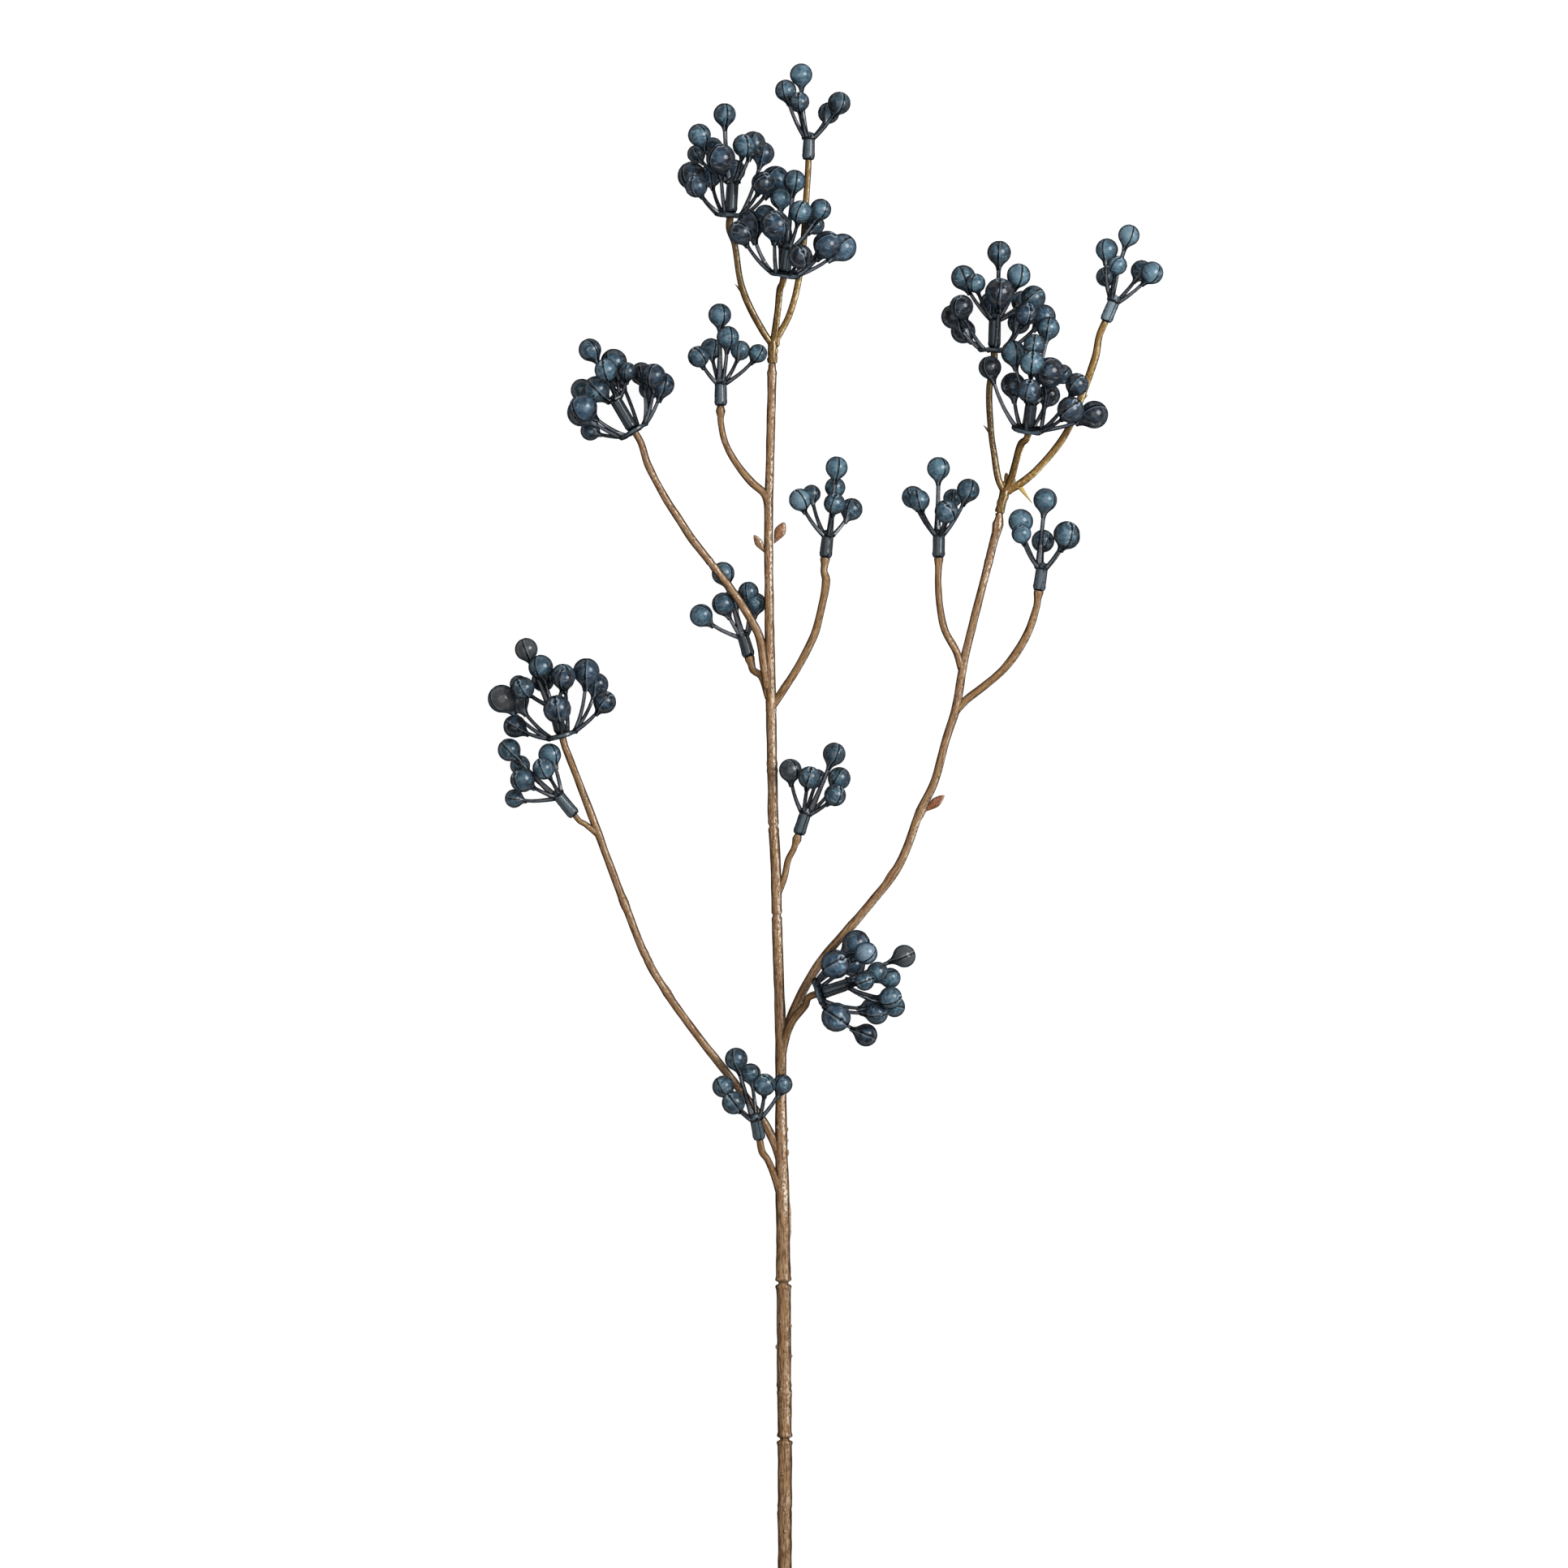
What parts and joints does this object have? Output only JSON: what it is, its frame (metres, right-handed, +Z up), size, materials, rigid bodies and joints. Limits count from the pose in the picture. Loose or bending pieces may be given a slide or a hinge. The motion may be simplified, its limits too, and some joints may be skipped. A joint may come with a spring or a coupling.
{
  "type": "blueberry sprig",
  "caption": "Long branching sprig of round blue berries on thin stalks, with small sprays and large two-tier heads on a brown stem, lying on its back",
  "frame": {"origin": "Middle of the bounding box in plan, on the surface that the sprig lies on.", "axes": "+Y runs along the main stem from its cut foot to the tip, +Z is up from the surface, and +X is to the right when the sprig is seen from above with its tip up."},
  "size_m": [0.2998, 0.7036, 0.0605],
  "materials": {
    "stem": "satin, lengthwise grain",
    "fork": "ochre, soft gloss",
    "whorl": "near-black blue with mottled bloom, satin",
    "spray": "dark blue with mottled bloom, satin"
  },
  "bodies": {
    "root": {"stem": "stem", "fork_top": "fork", "fork_right": "fork", "whorl_top_left": "whorl", "whorl_top_right": "whorl", "whorl_right_upper": "whorl", "whorl_right_lower": "whorl", "whorl_left": "whorl", "whorl_left_lower": "whorl", "whorl_right_base": "whorl", "spray_top": "spray", "spray_middle_left": "spray", "spray_under_branch": "spray", "spray_middle_right": "spray", "spray_low_middle": "spray", "spray_right_inner": "spray", "spray_right_outer": "spray", "spray_right_tip": "spray", "spray_low_left": "spray", "spray_bottom": "spray", "spray_top_left": "spray", "spray_top_right": "spray", "spray_right_upper": "spray", "spray_right_lower": "spray", "spray_left": "spray", "spray_left_lower": "spray", "spray_right_base": "spray"}
  },
  "joints": []
}
